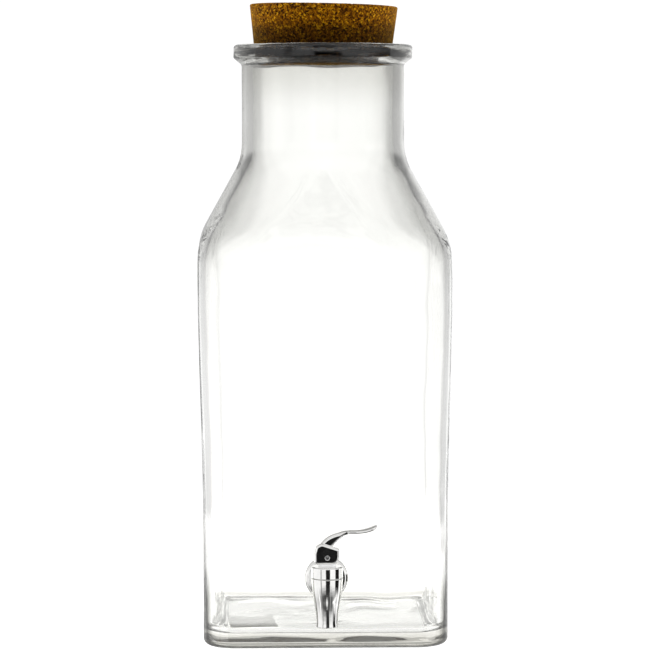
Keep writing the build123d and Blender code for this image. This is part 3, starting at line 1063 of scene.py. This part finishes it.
def make_lever():
    """Fork, hooked neck and paddle in one polished casting."""
    heel = PIN_Z - lever_low.z
    back = lever_low.x
    front = 0.00885
    outline = rounded_outline(
        [
            (-0.002, -heel, 0),
            (front, -heel, 0.0062),
            (front, 0.0062, 0.0018),
            (-0.0042, 0.0104, 0.004),
            (-0.0080, 0.0082, 0.003),
            (back, 0.0030, 0.004),
            (back, -heel, 0.0024),
            (-0.0021, -heel, 0),
        ]
    )
    fork = rounded_prism("lever_casting", filled(outline, 0.0012), CHEEK_HALF_WIDTH, CHEEK_ROUNDING)
    slot_outline = [(-0.0044, -0.01), (0.012, -0.01), (0.012, 0.0043), (-0.0044, 0.0043)]
    boolean(fork, prism("slot", slot_outline, SLOT_HALF_WIDTH), "DIFFERENCE")
    hole = lathe("hole", pin_outline(PIN_HOLE_RADIUS, 0.01), cross_place(), 48)
    boolean(fork, hole, "DIFFERENCE")
    add_meshes(fork, make_neck(), make_paddle())
    remesh = fork.modifiers.new("remesh", "REMESH")
    remesh.mode = "VOXEL"
    remesh.voxel_size = VOXEL
    smooth = fork.modifiers.new("smooth", "SMOOTH")
    smooth.factor = 0.5
    smooth.iterations = 8
    apply_modifiers(fork)
    fork.data.shade_smooth()
    wear(fork, chrome)
    stand_for(fork, "handle", "chrome_casting", "lever")


def make_pin():
    """The cross pin, its ends a little below the fork's cheeks and centre-drilled."""
    half = (pin_high.y - pin_low.y) / 2 - PIN_SUNK
    outline = rounded_outline(
        [
            (0, 0.00025 - half, 0),
            (0.0004, -half, 0.0003),
            (PIN_RADIUS, -half, 0.00006),
            (PIN_RADIUS, half, 0.00006),
            (0, half, 0),
        ]
    )
    pin = lathe("cross_pin", outline, cross_place(), 48)
    even_normals(pin)
    wear(pin, bright_steel)
    stand_for(pin, "stem", "steel", "lever_pin")


def make_spring():
    """The return spring under the bonnet, copied as it stands; the real one shortens as the stem lifts."""
    spring = new_object("return_spring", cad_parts["stem_spring"].data.copy())
    wear(spring, dull_steel)
    stand_for(spring, "swivel", "steel", "stem_spring")
    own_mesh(spring)


def dress_cad_nodes():
    """Materials for the CAD nodes that show as they are."""
    finishes = {
        "base_label": label_paper,
        "bonnet_gasket": silicone,
        "spring_washer": dull_steel,
        "stem_o_ring": silicone,
        "valve_stem": bright_steel,
        "seat_cup": silicone,
    }
    for name, finish in finishes.items():
        wear(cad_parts[name], finish)


# ---------------------------------------------------------------- camera, floor and light

CAMERA_DISTANCE = 2.10
CAMERA_HEIGHT = 0.3865
CAMERA_SIDE = math.radians(1.2)
CAMERA_TILT = math.radians(4.274)
CAMERA_ROLL = math.radians(-0.08)
CAMERA_PAN = math.radians(0.033)
LENS = 155.0
SENSOR_WIDTH = 36
FLOOR_DROP = 0.4 * MM


def make_camera():
    """A long lens a little above the shoulder, in front of the tap."""
    data = bpy.data.cameras.new("camera")
    data.lens = LENS
    data.sensor_width = SENSOR_WIDTH
    camera = new_object("camera", data)
    x = -CAMERA_DISTANCE * math.sin(CAMERA_SIDE)
    y = -CAMERA_DISTANCE * math.cos(CAMERA_SIDE)
    turn = Matrix.Rotation(-CAMERA_SIDE - CAMERA_PAN, 4, "Z")
    tilt = Matrix.Rotation(math.pi / 2 - CAMERA_TILT, 4, "X")
    roll = Matrix.Rotation(CAMERA_ROLL, 4, "Z")
    camera.matrix_world = Matrix.Translation(Vector((x, y, CAMERA_HEIGHT))) @ (turn @ tilt) @ roll
    bpy.context.scene.camera = camera


def make_floor():
    """A round pale floor that fades out, and that mirrors don't see."""
    floor = lathe("floor", [(0, 0), (0.1, 0), (0.3, 0), (0.9, 0)], segments=96)
    floor.location.z = -FLOOR_DROP
    made, tree, shader = material("floor_white")
    shader.inputs["Base Color"].default_value = (0.8, 0.8, 0.8, 1)
    shader.inputs["Roughness"].default_value = 0.9
    shader.inputs["Specular IOR Level"].default_value = 0.0
    shader.inputs["Emission Color"].default_value = (1, 1, 1, 1)
    shader.inputs["Emission Strength"].default_value = 0.95
    ray = node(tree, "ShaderNodeLightPath")
    clear = node(tree, "ShaderNodeBsdfTransparent")
    length = node(tree, "ShaderNodeVectorMath", operation="LENGTH")
    tree.links.new(object_place(tree), length.inputs[0])
    fade = ramp(tree, length.outputs["Value"], [(0.35, grey(0.0)), (0.85, grey(1.0))], "EASE")
    mirror_ray = node(tree, "ShaderNodeMath", operation="SUBTRACT", use_clamp=True)
    tree.links.new(ray.outputs["Is Glossy Ray"], mirror_ray.inputs[0])
    tree.links.new(ray.outputs["Is Transmission Ray"], mirror_ray.inputs[1])
    either = node(tree, "ShaderNodeMath", operation="MAXIMUM")
    tree.links.new(fade, either.inputs[0])
    tree.links.new(mirror_ray.outputs["Value"], either.inputs[1])
    mix = node(tree, "ShaderNodeMixShader")
    tree.links.new(either.outputs["Value"], mix.inputs["Fac"])
    tree.links.new(shader.outputs["BSDF"], mix.inputs[1])
    tree.links.new(clear.outputs["BSDF"], mix.inputs[2])
    tree.links.new(mix.outputs["Shader"], tree.nodes["Material Output"].inputs["Surface"])
    wear(floor, made)


# Studio light by direction round the object: 0 and 1 are -Y, 0.25 is -X, 0.5 is +Y and 0.75 is +X
BRIGHT = 1.15
MIRRORED_STOPS = [
    (0.0, grey(0.01)),
    (0.026, grey(0.01)),
    (0.036, grey(1.05)),
    (0.112, grey(1.05)),
    (0.122, grey(0.4)),
    (0.136, grey(0.4)),
    (0.146, grey(1.05)),
    (0.44, grey(1.1)),
    (0.732, grey(1.1)),
    (0.742, grey(0.01)),
    (0.826, grey(0.01)),
    (0.836, grey(1.1)),
    (0.938, grey(1.1)),
    (0.948, grey(0.01)),
    (1.0, grey(0.01)),
]
SCATTERED_STOPS = [
    (0.0, grey(0.35)),
    (0.12, grey(0.4)),
    (0.28, grey(1.3)),
    (0.72, grey(1.3)),
    (0.88, grey(0.4)),
    (1.0, grey(0.35)),
]

# By height of direction, from level to straight up: through glass, and in mirrors
CEILING_STOPS = [(0.17, grey(1.0)), (0.36, grey(0.32))]
MIRROR_CEILING_STOPS = [(0.06, grey(1.0)), (0.30, grey(0.80)), (0.65, grey(0.70)), (1.0, grey(0.8))]

# By direction round the object, in mirrors: the grey strip at the back, and the ground under the horizon
MIRROR_BACK_STOPS = [(0.40, grey(1.0)), (0.43, grey(0.46)), (0.503, grey(0.46)), (0.511, grey(1.0))]
DOWNWARD_STOPS = [
    (0.0, grey(0.06)),
    (0.105, grey(0.12)),
    (0.150, grey(0.35)),
    (0.19, grey(0.80)),
    (0.36, grey(0.45)),
    (0.60, grey(0.60)),
    (0.80, grey(0.75)),
    (0.85, grey(0.35)),
    (0.90, grey(0.12)),
    (1.0, grey(0.06)),
]

# Brightness of the background towards the bottle's left and right corners, seen through the glass
LEFT_CORNER, RIGHT_CORNER = 0.85, 0.72
LAMP_DIRECTION = (-0.045, -0.865, -0.50)


def window_stops():
    """White behind each face of the bottle, and greyer towards its four corners."""
    stops = []
    for quarter, corner in enumerate((LEFT_CORNER, LEFT_CORNER, RIGHT_CORNER, RIGHT_CORNER)):
        middle = 0.25 * quarter
        stops += [
            (middle + 0.03, grey(BRIGHT)),
            (middle + 0.075, grey(corner)),
            (middle + 0.175, grey(corner)),
            (middle + 0.22, grey(BRIGHT)),
        ]
    return stops


def mirrored_light(tree, direction, parts, share):
    """What chrome and the glass's gloss see: dark strips, a mottled ground, a lamp and a greyer ceiling."""
    level = ramp(tree, share, MIRRORED_STOPS)
    downward = ramp(tree, share, DOWNWARD_STOPS, "EASE")
    mottle = node(tree, "ShaderNodeTexNoise", in_Scale=7.0, in_Detail=2.0)
    tree.links.new(direction, mottle.inputs["Vector"])
    spots = ramp(tree, mottle.outputs["Fac"], [(0.40, grey(0.8)), (0.56, grey(1.0)), (0.62, grey(3.0))])
    ground = mix_colours(tree, downward, spots)
    upper = mix_colours(tree, level, (1.1, 1.1, 1.1, 1), rise(tree, parts["Z"], -0.03, 0.06), "MIX")
    banded = mix_colours(tree, ground, upper, rise(tree, parts["Z"], -0.42, -0.30), "MIX")
    backed = mix_colours(tree, banded, ramp(tree, share, MIRROR_BACK_STOPS))
    offset = node(tree, "ShaderNodeVectorMath", operation="DISTANCE")
    tree.links.new(direction, offset.inputs[0])
    offset.inputs[1].default_value = LAMP_DIRECTION
    lamp = ramp(tree, offset.outputs["Value"], [(0.05, grey(1.3)), (0.09, grey(0.0))])
    lamped = mix_colours(tree, backed, lamp, 1.0, "ADD")
    return mix_colours(tree, lamped, ramp(tree, parts["Z"], MIRROR_CEILING_STOPS, "EASE"))


def light_through_glass(tree, parts, share):
    """What shows through the glass: white, greyer towards the corners and overhead."""
    windows = ramp(tree, share, window_stops(), "EASE")
    below = (BRIGHT, BRIGHT, BRIGHT, 1)
    belt = mix_colours(tree, below, windows, rise(tree, parts["Z"], -0.27, -0.19), "MIX")
    return mix_colours(tree, belt, ramp(tree, parts["Z"], CEILING_STOPS, "EASE"))


def make_world():
    """A white studio that differs for mirrors, for views through glass, and for matt surfaces."""
    world = bpy.data.worlds.new("studio")
    bpy.context.scene.world = world
    world.use_nodes = True
    tree = world.node_tree
    direction = node(tree, "ShaderNodeTexCoord").outputs["Generated"]
    parts = split(tree, direction)
    around = node(tree, "ShaderNodeMath", operation="ARCTAN2")
    tree.links.new(parts["X"], around.inputs[0])
    tree.links.new(parts["Y"], around.inputs[1])
    share = rise(tree, around.outputs["Value"], -math.pi, math.pi)
    ray = node(tree, "ShaderNodeLightPath")
    lit = node(tree, "ShaderNodeMath", operation="GREATER_THAN")
    tree.links.new(ray.outputs["Diffuse Depth"], lit.inputs[0])
    lit.inputs[1].default_value = 0.5
    choices = [
        (ray.outputs["Is Glossy Ray"], mirrored_light(tree, direction, parts, share)),
        (ray.outputs["Is Transmission Ray"], light_through_glass(tree, parts, share)),
        (lit.outputs["Value"], ramp(tree, share, SCATTERED_STOPS, "EASE")),
    ]
    colour = (1.05, 1.05, 1.05, 1)
    for flag, light in choices:
        colour = mix_colours(tree, colour, light, flag, "MIX")
    tree.links.new(colour, tree.nodes["Background"].inputs["Color"])


make_camera()
make_world()
make_floor()
make_jar()
make_cork()
make_spigot()
make_bonnet()
make_washers()
make_nut()
make_lever()
make_pin()
make_spring()
dress_cad_nodes()

# Light is led far along the glass by reflections inside it, so it may bounce many times
BOUNCES = 64
scene = bpy.context.scene
scene.view_settings.view_transform = "Standard"
scene.cycles.max_bounces = BOUNCES
scene.cycles.transmission_bounces = BOUNCES
scene.cycles.glossy_bounces = BOUNCES
scene.cycles.transparent_max_bounces = 24
